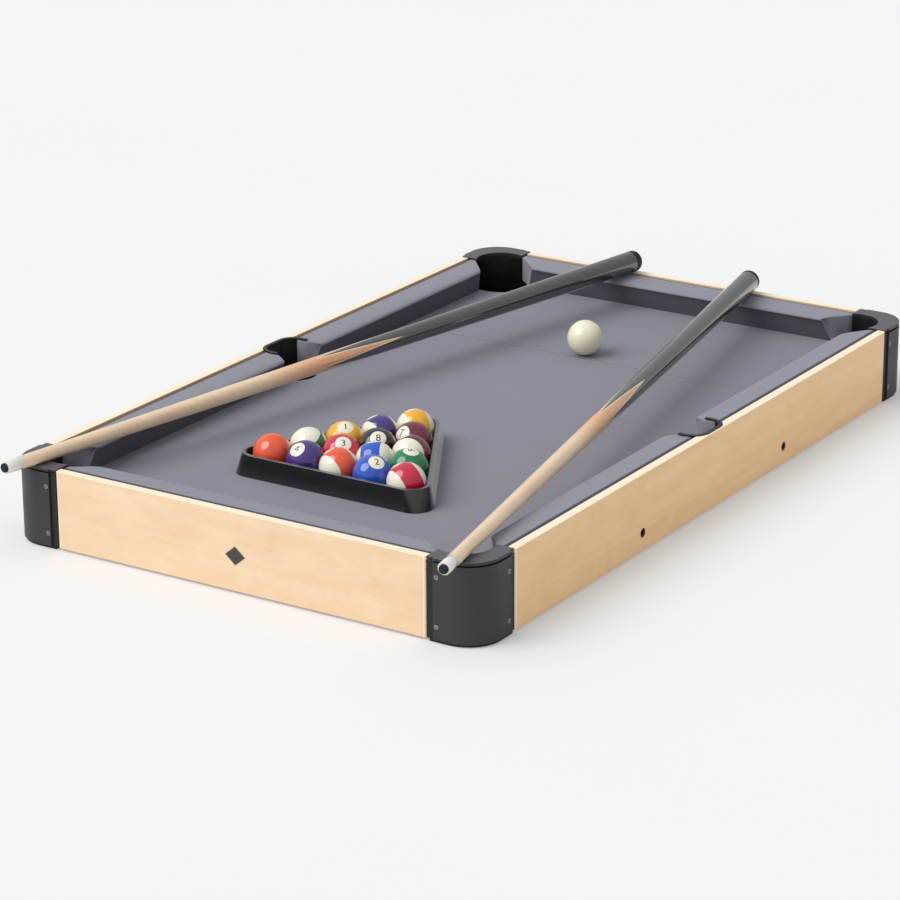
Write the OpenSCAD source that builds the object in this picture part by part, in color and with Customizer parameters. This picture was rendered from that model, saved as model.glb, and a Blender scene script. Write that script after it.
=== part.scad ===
// Tabletop pool table with maple panels, moulded corner guards, two cues,
// a triangle rack and sixteen balls. Millimetres, +Z up, +X along the table.
// The origin is on the floor under the middle of the table.

/* [Table] */
// Length of the table over its corner guards
table_l = 860; // [840:1:880]
// Width of the table over its corner guards
table_w = 530; // [520:1:545]
// Height of the top of the wooden panels
table_h = 79; // [78:0.5:84]
// Height of the playing surface, which is the top of the bed cloth
bed_h = 50; // [49:0.5:51]
// Thickness of the wooden panels
panel_t = 9; // [8:0.5:9]
// Thickness of the rubber foot under each corner
foot_t = 2.5; // [2:0.5:4]

/* [Corners] */
// How far a corner guard reaches along each side
corner_reach = 58; // [57:0.5:60]
// Outer radius of a corner guard
corner_r = 34; // [32:1:36]
// Wall thickness of a corner guard
guard_t = 3; // [2.5:0.25:3]
// How far a guard stands proud of the wood
guard_proud = 0.8; // [0.4:0.2:1]
// Height that a corner cap covers, from its groove to the top of the wood
cap_drop = 3.4; // [3:0.1:5]
// How far a corner cap stands above the wood
cap_rise = 1.2; // [0.8:0.2:2]

/* [Pockets] */
// Radius of a corner pocket
pocket_r = 27.5; // [26:0.25:28]
// Distance from the two outer faces to the centre of a corner pocket
pocket_inset = 46; // [45:0.5:47]
// Wall thickness of the pocket liners
liner_t = 2.5; // [2:0.25:2.5]
// Height of the underside of the pocket cups
cup_z = 6; // [5:0.5:12]
// Half width of a side pocket
side_pocket_w = 25; // [23:0.5:25]

/* [Rails] */
// Width of a rail from the panel to the cushion nose
rail_w = 33; // [31:1:34]
// Height of the cushion nose above the bed
nose_h = 23.4; // [22:0.2:24]
// Distance along the rail from a corner pocket's centre to the cushion's end
corner_mouth = 38; // [36:1:40]
// Distance along the rail from the middle to the cushion's end
side_mouth = 34; // [32:1:36]

/* [Cues] */
// Length of a cue
cue_l = 910; // [880:5:914]
// Diameter of a cue at its ferrule
cue_tip_d = 12.2; // [11:0.2:13]
// Diameter of a cue at its butt
cue_butt_d = 24; // [22:0.5:26]
// Share of the cue's length where the maple shaft meets the butt
butt_start = 0.5; // [0.45:0.01:0.55]

/* [Balls and rack] */
// Diameter of a ball
ball_d = 38; // [37:0.1:38.2]
// Distance between the centres of neighbouring racked balls
ball_pitch = 38.4; // [38.4:0.1:39]
// Wall thickness of the rack
rack_t = 3.6; // [3:0.2:4]
// Height of the rack
rack_h = 21; // [18:1:24]

/* [Hidden] */
$fn = 96;
eps = 0.01;
gap = 0.3;               // clearance between pieces that move apart
tight = 0.2;             // clearance between pieces that stay together
bottom_z = foot_t;       // underside of the panels and guards
half_l = table_l / 2;
half_w = table_w / 2;
wood_x = half_l - guard_proud;         // outer face of the end panels
wood_y = half_w - guard_proud;         // outer face of the side panels
in_x = wood_x - panel_t - tight;       // where the end rails start
in_y = wood_y - panel_t - tight;       // where the side rails start
wood_end = corner_reach + gap;         // the wood's ends, from the outer corner
nose_x = in_x - rail_w;
nose_y = in_y - rail_w;
pocket_x = half_l - pocket_inset;
pocket_y = half_w - pocket_inset;

// Corner guard and cap
lip_w = 7.5;             // width of the sunken lip beside the wood
lip_drop = 1.8;          // how far that lip is set back
cap_z = table_h - cap_drop;
cap_groove = 1.6;        // height of the shadow groove under the cap
groove_inset = 1.8;
cap_top = table_h + cap_rise;

// Guard screws
screw_edge = corner_reach - 11;        // from the outer corner
screw_z = [bottom_z + 12.5, table_h - 17];
screw_head_r = 2.4;
screw_r = 1.3;
screw_l = 8;

// Bed
cloth_t = 1;
board_t = 5;
board_z = bed_h - cloth_t - board_t;
rim_z = bed_h - cloth_t - tight;       // top of the liners, under the cloth
beam_x = 143;            // the cross beams, which the panel bolts hold
beam_w = 18;
beam_z = 10;
ledge_w = 10;
ledge_h = 12;

// Panel bolts
bolt_z = 20;
bolt_head_r = 4.5;
bolt_head_h = 3;
bolt_r = 2.4;
bolt_sunk = 0.4;

// Rails
rail_top = table_h - 0.6;
core_w = 15;
core_top = rail_top - 3.4;
throat_clear = 0.4;

// Side pockets
side_y = wood_y - 27.2;  // centre of the side pocket's inner half circle
side_depth = 21;         // from there to the outer wall
side_corner_r = 14;
flange_w = 4;
flange_t = 1.2;
flange_z = table_h - 0.4;
side_wall = 2;
arm_y = side_y + 12;     // the liner's wall rises above the bed from here outwards

// Badge, an inlaid diamond in the end panel
badge_z = 37;
badge_y = 11;
badge_h = 9;
badge_t = 1.2;
badge_proud = 0.4;

// Cues: where each tip lies, and the way the cue points
cue_place = [[-465, 240, -10.8], [-464, -247, 11]];
tip_l = 3.5;
tip_pad_r = 4.4;         // the leather tip, narrower than its ferrule
ferrule_l = 18;
bumper_l = 12;
tip_r = cue_tip_d / 2;
butt_r = cue_butt_d / 2;
cue_tip_z = cap_top + gap + tip_r;
cue_end_z = table_h + gap + butt_r;
cue_rise = asin((cue_end_z - cue_tip_z) / cue_l);

// Rack and balls: the rows run across the table, and the point is towards +X
ball_r = ball_d / 2;
ball_z = bed_h + ball_r + gap;
row_step = ball_pitch * sin(60);
rack_x = -256.3;
rack_y = 3.5;
rack_room = 0.8;         // between a ball and the rack
rack_corner_r = 14;      // inside its corners
rack_flare = 4;          // how much further out its walls stand at the bottom
ball_rows = [[5, 4, 13, 2, 11], [14, 3, 10, 6], [1, 8, 15], [12, 7], [9]];
ball_colours = ["gold", "royalblue", "crimson", "indigo", "orangered", "seagreen", "maroon"];
cue_ball_at = [213.5, 9];

corner_signs = [[-1, -1], [1, -1], [1, 1], [-1, 1]];

// ---------- helpers ----------

module mirror_if(yes, axis) {
    if (yes) mirror(axis) children();
    else children();
}

// What is made for the corner at +X +Y, moved to one of the four corners
module at_corner(i) {
    mirror_if(corner_signs[i - 1][0] < 0, [1, 0, 0])
        mirror_if(corner_signs[i - 1][1] < 0, [0, 1, 0]) children();
}

module at_all_corners() {
    for (i = [1:4]) at_corner(i) children();
}

// A slab between two heights
module slab(z0, z1) {
    translate([0, 0, z0]) linear_extrude(z1 - z0) children();
}

// Plan of a corner with its rounded outside, set back from the outer faces
module corner_plan(inset, reach) {
    translate([half_l - reach, half_w - reach]) {
        square([reach - corner_r, reach - inset]);
        square([reach - inset, reach - corner_r]);
    }
    translate([half_l - corner_r, half_w - corner_r]) intersection() {
        circle(corner_r - inset);
        square(corner_r);
    }
}

module pocket_circle(r) {
    translate([pocket_x, pocket_y]) circle(r);
}

// Plan of the side pocket at +Y, grown outwards by g
module side_plan(g) {
    inner_x = side_pocket_w - side_corner_r;
    outer_y = side_y + side_depth;
    intersection() {
        translate([0, side_y]) circle(side_pocket_w + g);
        translate([-half_w, side_y + 1 - half_w]) square([table_w, half_w]);
    }
    translate([-side_pocket_w - g, side_y])
        square([2 * (side_pocket_w + g), side_depth - side_corner_r]);
    translate([-inner_x, side_y]) square([2 * inner_x, side_depth + g]);
    for (s = [-1, 1])
        translate([s * inner_x, outer_y - side_corner_r]) circle(side_corner_r + g);
}

// The part of a plan on the outer side of the side pocket's centre line
module outer_side_only(from = side_y) {
    intersection() {
        children();
        translate([-half_l, from]) square([table_l, half_w]);
    }
}

// ---------- wooden panels ----------

// A panel along +Y: half_len is half its full-thickness length, tongue half its whole length,
// face its outer face
module panel(half_len, tongue, face) {
    edge_r = 3;
    tongue_t = panel_t - 2.6;
    slab(bottom_z, table_h) {
        translate([-half_len, face - panel_t]) square([2 * half_len, panel_t - edge_r]);
        translate([edge_r - half_len, face - panel_t]) square([2 * (half_len - edge_r), panel_t]);
        for (s = [-1, 1]) translate([s * (half_len - edge_r), face - edge_r]) circle(edge_r);
    }
    slab(bottom_z, cap_z - 0.5)
        translate([-tongue, face - panel_t]) square([2 * tongue, tongue_t]);
}

module screw_holes_along(x, face) {
    for (s = [-1, 1]) for (z = screw_z)
        translate([s * x, face + eps, z]) rotate([90, 0, 0]) cylinder(r = screw_r, h = screw_l + eps);
}

module side_panel() {
    color("burlywood") difference() {
        panel(half_l - wood_end, half_l - 32, wood_y);
        slab(cup_z - 1, table_h + 1) side_plan(side_wall + gap);
        slab(flange_z - tight, table_h + 1) outer_side_only() side_plan(flange_w + gap);
        screw_holes_along(half_l - screw_edge, half_w - guard_t);
        for (s = [-1, 1]) translate([s * beam_x, wood_y + eps, bolt_z]) rotate([90, 0, 0]) {
            cylinder(r = bolt_head_r + gap, h = bolt_sunk + bolt_head_h + eps);
            cylinder(r = bolt_r + gap, h = panel_t + 1);
        }
    }
}

module end_panel(with_badge) {
    color("burlywood") rotate([0, 0, -90]) difference() {
        panel(half_w - wood_end, half_w - 32, wood_x);
        screw_holes_along(half_w - screw_edge, half_l - guard_t);
        if (with_badge) badge_shape(tight / 2, 1);
    }
}

// The diamond, on the panel that faces +Y before it is turned to its end
module badge_shape(grow, over) {
    translate([0, wood_x + over, badge_z]) rotate([90, 0, 0])
        linear_extrude(over + badge_t - badge_proud)
            polygon([[badge_y + grow, 0], [0, badge_h + grow], [-badge_y - grow, 0], [0, -badge_h - grow]]);
}

module end_badge() {
    color("dimgray") rotate([0, 0, 90]) badge_shape(0, badge_proud);
}

// ---------- corners ----------

module corner_guard(i) {
    color([0.25, 0.25, 0.26]) at_corner(i) difference() {
        slab(bottom_z, cap_z) difference() {
            union() {
                corner_plan(0, corner_reach - lip_w);
                corner_plan(lip_drop, corner_reach);
            }
            corner_plan(guard_t, corner_reach + 1);
        }
        screw_seats();
    }
}

// Countersunk seats for the four screws of one guard
module screw_seats() {
    for (z = screw_z) {
        translate([half_l - screw_edge, half_w + eps, z]) rotate([90, 0, 0]) screw_space(gap / 2);
        translate([half_l + eps, half_w - screw_edge, z]) rotate([0, -90, 0]) screw_space(gap / 2);
    }
}

module screw_space(grow) {
    cylinder(r1 = screw_head_r + grow, r2 = screw_r + grow, h = 1.6);
    cylinder(r = screw_r + grow, h = guard_t + 1);
}

module guard_screw() {
    difference() {
        union() {
            translate([0, 0, 0.1]) cylinder(r1 = screw_head_r - 0.1, r2 = screw_r - 0.1, h = 1.5);
            translate([0, 0, 0.1]) cylinder(r = screw_r - 0.1, h = screw_l);
        }
        for (a = [0, 90]) rotate([0, 0, a]) translate([-1.4, -0.3, -1]) cube([2.8, 0.6, 1.9]);
    }
}

module guard_screws() {
    color("silver") at_all_corners() for (z = screw_z) {
        translate([half_l - screw_edge, half_w, z]) rotate([90, 0, 0]) guard_screw();
        translate([half_l, half_w - screw_edge, z]) rotate([0, -90, 0]) guard_screw();
    }
}

module corner_cap(i) {
    color([0.32, 0.32, 0.33]) at_corner(i) {
        slab(cap_z, cap_z + cap_groove) difference() {
            union() {
                corner_plan(groove_inset, corner_reach - lip_w);
                corner_plan(lip_drop + groove_inset, corner_reach);
            }
            pocket_circle(pocket_r);
        }
        slab(cap_z + cap_groove, cap_top) difference() {
            union() {
                corner_plan(0, corner_reach - lip_w);
                corner_plan(lip_drop, corner_reach);
            }
            pocket_circle(pocket_r);
        }
    }
}

// The liner is a cup that carries the cloth's edge, with a wall that rises behind the ball to
// the cap
module corner_pocket(i) {
    color([0.1, 0.1, 0.11]) at_corner(i) {
        slab(cup_z, cup_z + liner_t) pocket_circle(pocket_r + liner_t);
        slab(cup_z, rim_z) pocket_ring();
        slab(cup_z, cap_z - tight) intersection() {
            pocket_ring();
            translate([half_l - corner_reach + gap, half_w - corner_reach + gap])
                square(corner_reach);
        }
    }
}

module pocket_ring() {
    difference() {
        pocket_circle(pocket_r + liner_t);
        pocket_circle(pocket_r);
    }
}

module corner_feet() {
    color("black") at_all_corners() slab(0, foot_t) corner_plan(1.5, corner_reach - 3);
}

// ---------- side pockets ----------

module side_pocket() {
    color([0.13, 0.13, 0.14]) {
        slab(cup_z, cup_z + liner_t) side_plan(side_wall);
        slab(cup_z, rim_z) side_ring(side_wall);
        slab(cup_z, flange_z) outer_side_only(arm_y) side_ring(side_wall);
        slab(flange_z, flange_z + flange_t) outer_side_only() side_ring(flange_w);
    }
}

module side_ring(g) {
    difference() {
        side_plan(g);
        side_plan(0);
    }
}

// ---------- bed ----------

// Plan of the bed between the panels, with its corners cut off past the pockets' centres
module bed_plan() {
    difference() {
        square([2 * in_x, 2 * in_y], center = true);
        for (i = [1:4]) at_corner(i) translate([pocket_x, pocket_y]) square(corner_reach);
        children();
    }
}

// Straight-sided cut-outs in the board, which clear the pocket liners all round
module board_openings() {
    corner = pocket_r + liner_t + throat_clear;
    side = side_pocket_w + side_wall + throat_clear;
    corner_cut = chamfer(corner);
    side_cut = chamfer(side);
    for (i = [1:4]) at_corner(i) translate([pocket_x, pocket_y]) polygon([
        [-corner, corner_reach], [-corner, corner_cut - corner],
        [corner_cut - corner, -corner], [corner_reach, -corner], [corner_reach, corner_reach]
    ]);
    for (s = [0, 1]) mirror_if(s == 1, [0, 1, 0]) translate([0, side_y]) polygon([
        [-side, half_w], [-side, side_cut - side], [side_cut - side, -side],
        [side - side_cut, -side], [side, side_cut - side], [side, half_w]
    ]);
}

// Chamfer that leaves a cut-out's slanted side as far from its centre as its straight sides
function chamfer(half) = half * (1 - tan(22.5));

// Round openings in the cloth, whose edges lie on the liners
module cloth_openings() {
    for (i = [1:4]) at_corner(i) {
        pocket_circle(pocket_r + throat_clear);
        intersection() {
            pocket_circle(pocket_r + liner_t + throat_clear);
            translate([half_l - corner_reach, half_w - corner_reach]) square(corner_reach);
        }
    }
    for (s = [0, 1]) mirror_if(s == 1, [0, 1, 0]) {
        side_plan(throat_clear);
        outer_side_only() side_plan(side_wall + throat_clear);
    }
}

module bed_board() {
    color("tan") slab(board_z, board_z + board_t) bed_plan() board_openings();
}

module bed_cloth() {
    color("slategray") slab(bed_h - cloth_t, bed_h) bed_plan() cloth_openings();
}

module beam(sx) {
    translate([sx * beam_x - beam_w / 2, -in_y, beam_z])
        cube([beam_w, 2 * in_y, board_z - beam_z]);
}

module cross_beams() {
    color("wheat") for (sx = [-1, 1]) difference() {
        beam(sx);
        for (sy = [-1, 1]) translate([sx * beam_x, sy * in_y, bolt_z]) rotate([sy * 90, 0, 0])
            translate([0, 0, -1]) cylinder(r = bolt_r + tight / 2, h = 30);
    }
}

// Strips glued to the panels, which the bed board rests on
module bed_ledges() {
    side_from = side_pocket_w + 6;
    side_to = half_l - 80;
    end_to = half_w - 78;
    beam_edge = beam_w / 2 + gap;
    color("wheat") {
        for (sx = [0, 1]) for (sy = [0, 1])
            mirror_if(sx == 1, [1, 0, 0]) mirror_if(sy == 1, [0, 1, 0]) {
                ledge([side_from, in_y - ledge_w], [beam_x - beam_edge, in_y]);
                ledge([beam_x + beam_edge, in_y - ledge_w], [side_to, in_y]);
            }
        for (sx = [0, 1]) mirror_if(sx == 1, [1, 0, 0])
            ledge([in_x - ledge_w, -end_to], [in_x, end_to]);
    }
}

module ledge(from, to) {
    translate([from[0], from[1], board_z - ledge_h])
        cube([to[0] - from[0], to[1] - from[1], ledge_h]);
}

module panel_bolts() {
    color("black") for (sx = [-1, 1]) for (sy = [-1, 1])
        translate([sx * beam_x, sy * (wood_y - bolt_sunk), bolt_z]) rotate([sy * 90, 0, 0])
            difference() {
                union() {
                    cylinder(r = bolt_head_r, h = bolt_head_h);
                    cylinder(r = bolt_r, h = 34);
                }
                translate([0, 0, -eps]) cylinder(r = 2.3, h = 1.8, $fn = 6);
            }
}

// ---------- rails ----------

// Section of a rail, from the panel inwards, with the cushion nose at the far end
module rail_section() {
    nose_z = bed_h + nose_h;
    polygon([[0, bed_h], [0, rail_top - 0.4], [-1, rail_top], [-rail_w * 0.7, rail_top - 0.8],
        [-rail_w + 3.5, nose_z + 2.8], [-rail_w + 0.9, nose_z + 1.4], [-rail_w, nose_z],
        [-rail_w + 1.2, nose_z - 2], [-rail_w + 7.5, bed_h]]);
}

// A run of rail section along X, from x0 to x1, that starts at the line y = face
module rail_run(x0, x1, face) {
    translate([x0, face, 0]) rotate([90, 0, 90]) linear_extrude(x1 - x0) rail_section();
}

// Where the circle of a corner pocket meets the jaws, from its centre
jaw = (pocket_r + gap) * sin(45);

// Plan of a rail's end beside a corner pocket, from the nose round to the panel.
// along and across are the pocket's centre, and reach is where the rail ends
function jaw_points(along, across, nose, face, reach) = [
    [along - corner_mouth, nose - 1], [along - corner_mouth, nose],
    [along - jaw, across + jaw], [reach, across], [reach, face]
];

// One of the four cushions on the long sides, as made at +X +Y
module side_cushion() {
    end_x = half_l - wood_end;
    start_x = side_pocket_w + side_wall + gap;
    color("slategray") difference() {
        intersection() {
            rail_run(side_pocket_w, end_x, in_y);
            slab(bed_h - 1, table_h) polygon(concat(
                jaw_points(pocket_x, pocket_y, nose_y, in_y, end_x),
                [[start_x, in_y], [start_x, arm_y - gap], [side_pocket_w, arm_y - gap],
                 [side_pocket_w, side_y], [side_mouth, nose_y], [side_mouth, nose_y - 1]]
            ));
        }
        slab(bed_h - 1, table_h) pocket_circle(pocket_r + gap);
        side_core();
    }
}

module side_core() {
    start_x = side_pocket_w + 6;
    translate([start_x, in_y - core_w, bed_h])
        cube([half_l - 68 - start_x, core_w, core_top - bed_h]);
}

// The cushion at the end of the table, as made along X at +Y
module end_cushion() {
    end_y = half_w - wood_end;
    one_end = jaw_points(pocket_y, pocket_x, nose_x, in_x, end_y);
    color("slategray") difference() {
        intersection() {
            rail_run(-end_y, end_y, in_x);
            slab(bed_h - 1, table_h)
                polygon(concat(one_end, [for (k = [4:-1:0]) [-one_end[k][0], one_end[k][1]]]));
        }
        for (s = [-1, 1]) slab(bed_h - 1, table_h)
            translate([s * pocket_y, pocket_x]) circle(pocket_r + gap);
        end_core();
    }
}

module end_core() {
    half = half_w - 69;
    translate([-half, in_x - core_w, bed_h]) cube([2 * half, core_w, core_top - bed_h]);
}

module rail_cores() {
    color("tan") {
        for (sx = [0, 1]) for (sy = [0, 1])
            mirror_if(sx == 1, [1, 0, 0]) mirror_if(sy == 1, [0, 1, 0]) side_core();
        for (a = [-90, 90]) rotate([0, 0, a]) end_core();
    }
}

// ---------- cues ----------

module at_cue(i) {
    place = cue_place[i - 1];
    translate([place[0], place[1], cue_tip_z]) rotate([0, -cue_rise, place[2]]) children();
}

function cue_r(s) = tip_r + (butt_r - tip_r) * s / cue_l;

// A length of the cue's straight taper, from s0 to s1 along it
module cue_length(s0, s1) {
    translate([s0, 0, 0]) rotate([0, 90, 0]) cylinder(r1 = cue_r(s0), r2 = cue_r(s1), h = s1 - s0);
}

module cue_tip(i) {
    color([0.2, 0.24, 0.32]) at_cue(i) rotate([0, 90, 0]) cylinder(r = tip_pad_r, h = tip_l);
}

module cue_ferrule(i) {
    color("white") at_cue(i) cue_length(tip_l, tip_l + ferrule_l);
}

module cue_shaft(i) {
    color("wheat") at_cue(i) cue_length(tip_l + ferrule_l, cue_l * butt_start);
}

module cue_butt(i) {
    color([0.1, 0.1, 0.1]) at_cue(i) cue_length(cue_l * butt_start, cue_l - bumper_l);
}

module cue_bumper(i) {
    round_l = 5;
    color("black") at_cue(i) {
        cue_length(cue_l - bumper_l, cue_l - round_l);
        translate([cue_l - round_l, 0, 0]) rotate([0, 90, 0])
            cylinder(r1 = cue_r(cue_l - round_l), r2 = butt_r - 4, h = round_l);
    }
}

// ---------- rack and balls ----------

// The rack's middle, and the centres of its rounded corners, which stand outside the corner balls
rack_middle = [rack_x + 4 / 3 * row_step, rack_y];
rack_out = 4 * ball_pitch / sqrt(3) + 2 * (ball_r + rack_room - rack_corner_r);
rack_corners = [for (a = [240, 0, 120]) rack_middle + rack_out * [cos(a), sin(a)]];

// The triangle round these centres, grown by r with round corners. The flats are a hair inside
// the corner circles, so that the two cross cleanly
module rack_plan(r) {
    flat = r - 0.02;
    polygon([for (k = [0:2]) let (
        a = rack_corners[k], b = rack_corners[(k + 1) % 3],
        n = [b[1] - a[1], a[0] - b[0]] / norm(b - a)
    ) each [a + flat * n, b + flat * n]]);
    for (c = rack_corners) translate(c) circle(r);
}

// A thin wall that leans outwards to the bottom
module triangle_rack() {
    wall_out = row_step * 4 / 3 + ball_r + rack_room + rack_t;
    spread = 1 + rack_flare / wall_out;
    color([0.12, 0.12, 0.13]) translate([rack_middle[0], rack_middle[1], bed_h + gap])
        linear_extrude(rack_h, scale = 1 / spread) scale(spread) translate(-rack_middle) difference() {
            rack_plan(rack_corner_r + rack_t);
            rack_plan(rack_corner_r);
        }
}

// Where ball n lies in the rack: its row, and its place in the row from +Y
function ball_at(n) = [for (row = [0:4]) for (k = [0:4 - row]) if (ball_rows[row][k] == n)
    [rack_x + row * row_step, rack_y + ((4 - row) / 2 - k) * ball_pitch, ball_z]][0];

module ball(n) {
    color(n == 8 ? "black" : ball_colours[(n - 1) % 8]) translate(ball_at(n)) sphere(ball_r);
}

module cue_ball() {
    color("ivory") translate([cue_ball_at[0], cue_ball_at[1], ball_z]) sphere(ball_r);
}

// ---------- nodes ----------

mirror([0, 1, 0]) side_panel();  // side_panel_near
side_panel();  // side_panel_far
mirror([1, 0, 0]) end_panel(true);  // end_panel_badge
end_panel(false);  // end_panel_plain
for (i = [1:4]) {
    corner_guard(i);
    corner_cap(i);
    corner_pocket(i);
}
mirror([0, 1, 0]) side_pocket();  // side_pocket_near
side_pocket();  // side_pocket_far
bed_board();
bed_cloth();
cross_beams();
bed_ledges();
mirror([1, 0, 0]) mirror([0, 1, 0]) side_cushion();  // cushion_near_left
mirror([0, 1, 0]) side_cushion();  // cushion_near_right
mirror([1, 0, 0]) side_cushion();  // cushion_far_left
side_cushion();  // cushion_far_right
rotate([0, 0, 90]) end_cushion();  // cushion_end_left
rotate([0, 0, -90]) end_cushion();  // cushion_end_right
rail_cores();
panel_bolts();
guard_screws();
corner_feet();
end_badge();
for (i = [1:2]) {
    cue_tip(i);
    cue_ferrule(i);
    cue_shaft(i);
    cue_butt(i);
    cue_bumper(i);
}
triangle_rack();
cue_ball();
for (n = [1:15])
    ball(n);
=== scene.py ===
"""Looks of a tabletop pool table around its CAD frame: cloth, wood, moulded plastic, cues and balls."""

import math

import bmesh
import bpy
from mathutils import Matrix, Vector


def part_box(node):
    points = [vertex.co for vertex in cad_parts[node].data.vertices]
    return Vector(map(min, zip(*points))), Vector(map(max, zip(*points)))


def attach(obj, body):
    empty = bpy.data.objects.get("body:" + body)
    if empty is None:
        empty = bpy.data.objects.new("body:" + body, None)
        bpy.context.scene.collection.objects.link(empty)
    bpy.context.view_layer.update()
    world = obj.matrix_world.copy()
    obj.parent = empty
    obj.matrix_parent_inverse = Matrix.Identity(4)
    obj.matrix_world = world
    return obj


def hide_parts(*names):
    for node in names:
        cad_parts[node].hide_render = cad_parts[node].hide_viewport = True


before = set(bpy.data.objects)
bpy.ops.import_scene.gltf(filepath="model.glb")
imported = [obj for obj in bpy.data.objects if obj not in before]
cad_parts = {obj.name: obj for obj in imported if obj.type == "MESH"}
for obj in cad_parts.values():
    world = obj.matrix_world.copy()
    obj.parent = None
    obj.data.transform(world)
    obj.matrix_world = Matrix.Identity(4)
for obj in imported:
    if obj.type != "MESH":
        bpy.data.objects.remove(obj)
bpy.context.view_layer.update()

MM = 0.001


# ---------- places that the frame gives ----------

def low(node):
    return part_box(node)[0]


def high(node):
    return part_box(node)[1]


def middle(node):
    return (low(node) + high(node)) / 2


WOOD_TOP = high("side_panel_far").z
WOOD_X = high("end_panel_plain").x
WOOD_Y = high("side_panel_far").y
BED_TOP = high("bed_cloth").z
CORNER_POCKET = middle("corner_pocket_3")
LINER_T = 2.5 * MM               # wall of a corner pocket's liner
CORNER_R = (high("corner_pocket_3").x - low("corner_pocket_3").x) / 2 - LINER_T
BALL_R = (high("cue_ball").x - low("cue_ball").x) / 2
LIP_W = 7.5 * MM                 # width of a guard's sunken lip, beside the wood
LIP_X = low("corner_guard_3").x + LIP_W
LIP_Y = low("corner_guard_3").y + LIP_W
WOOD_LAP = 26.3 * MM             # how far a panel's thinner ends run in behind the guards
HEAD_LINE = 202 * MM             # where a line is drawn across the bed


# ---------- camera ----------

# Azimuth 0 looks along +Y; the target is a point on the floor
VIEW_AZIMUTH = math.radians(-57.332)
VIEW_ELEVATION = math.radians(19.617)
VIEW_ROLL = math.radians(-0.256)
VIEW_DISTANCE = 3.505
VIEW_TARGET = Vector((0.0036, 0.0446, 0))
SENSOR = 36                      # millimetres, like the lens
LENS = 137.4


def make_camera():
    back = Vector((
        math.sin(VIEW_AZIMUTH) * math.cos(VIEW_ELEVATION),
        -math.cos(VIEW_AZIMUTH) * math.cos(VIEW_ELEVATION),
        math.sin(VIEW_ELEVATION),
    ))
    right = (-back).cross(Vector((0, 0, 1))).normalized()
    up = right.cross(-back)
    turned_right = math.cos(VIEW_ROLL) * right + math.sin(VIEW_ROLL) * up
    turned_up = math.cos(VIEW_ROLL) * up - math.sin(VIEW_ROLL) * right
    data = bpy.data.cameras.new("camera")
    data.sensor_width = SENSOR
    data.lens = LENS
    data.clip_end = 100
    camera = bpy.data.objects.new("camera", data)
    bpy.context.scene.collection.objects.link(camera)
    camera.matrix_world = Matrix.Translation(VIEW_TARGET + back * VIEW_DISTANCE) @ Matrix(
        (turned_right, turned_up, back)).transposed().to_4x4()
    bpy.context.scene.camera = camera


# ---------- material graphs ----------

def srgb(r, g, b):
    """A linear colour from the usual 0 to 255 values."""
    def linear(c):
        c /= 255
        return c / 12.92 if c <= 0.04045 else ((c + 0.055) / 1.055) ** 2.4
    return (linear(r), linear(g), linear(b), 1)


RANGE_SOCKETS = ("From Min", "From Max", "To Min", "To Max")


class Graph:
    """A node material with a Principled BSDF, built one node at a time."""

    def __init__(self, name, **finish):
        self.material = bpy.data.materials.new(name)
        self.material.use_nodes = True
        self.tree = self.material.node_tree
        self.shader = self.tree.nodes["Principled BSDF"]
        self.place = self.node("ShaderNodeTexCoord").outputs["Object"]
        for socket, value in finish.items():
            self.shader.inputs[socket.replace("_", " ")].default_value = value

    def node(self, kind, props=None, **inputs):
        made = self.tree.nodes.new(kind)
        for key, value in (props or {}).items():
            setattr(made, key, value)
        for key, value in inputs.items():
            self.put(made.inputs[key.replace("_", " ")], value)
        return made

    def put(self, socket, value):
        if isinstance(value, bpy.types.NodeSocket):
            self.tree.links.new(value, socket)
        else:
            socket.default_value = value

    def set(self, socket, value):
        self.put(self.shader.inputs[socket], value)

    def scaled(self, x, y, z):
        """Object coordinates, stretched: a larger number makes finer detail along that axis."""
        return self.node("ShaderNodeMapping", Vector=self.place, Scale=(x, y, z)).outputs["Vector"]

    def noise(self, where, scale, detail=4.0, roughness=0.55, distortion=0.0):
        return self.node("ShaderNodeTexNoise", Vector=where, Scale=scale, Detail=detail,
                         Roughness=roughness, Distortion=distortion).outputs["Fac"]

    def ramp(self, value, *stops):
        """Colours at places from 0 to 1."""
        made = self.node("ShaderNodeValToRGB", Fac=value)
        points = made.color_ramp.elements
        for k, (at, colour) in enumerate(stops):
            point = points[k] if k < 2 else points.new(at)
            point.position = at
            point.color = colour if hasattr(colour, "__len__") else (colour, colour, colour, 1)
        return made.outputs["Color"]

    def mix(self, share, a, b, blend="MIX"):
        made = self.node("ShaderNodeMix", {"data_type": "RGBA", "blend_type": blend})
        self.put(made.inputs["Factor"], share)
        self.put(made.inputs[6], a)
        self.put(made.inputs[7], b)
        return made.outputs[2]

    def math(self, operation, a, b=0.0):
        made = self.node("ShaderNodeMath", {"operation": operation})
        self.put(made.inputs[0], a)
        self.put(made.inputs[1], b)
        return made.outputs[0]

    def between(self, value, start, end, to_start=0.0, to_end=1.0):
        """Eases from to_start to to_end as value goes from start to end."""
        made = self.node("ShaderNodeMapRange", {"interpolation_type": "SMOOTHSTEP"}, Value=value)
        for socket, number in zip(RANGE_SOCKETS, (start, end, to_start, to_end)):
            made.inputs[socket].default_value = number
        return made.outputs["Result"]

    def axis(self, name):
        return self.node("ShaderNodeSeparateXYZ", Vector=self.place).outputs[name]

    def bump(self, height, depth):
        return self.node("ShaderNodeBump", Height=height, Distance=depth, Strength=1.0).outputs["Normal"]


# ---------- materials ----------

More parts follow.
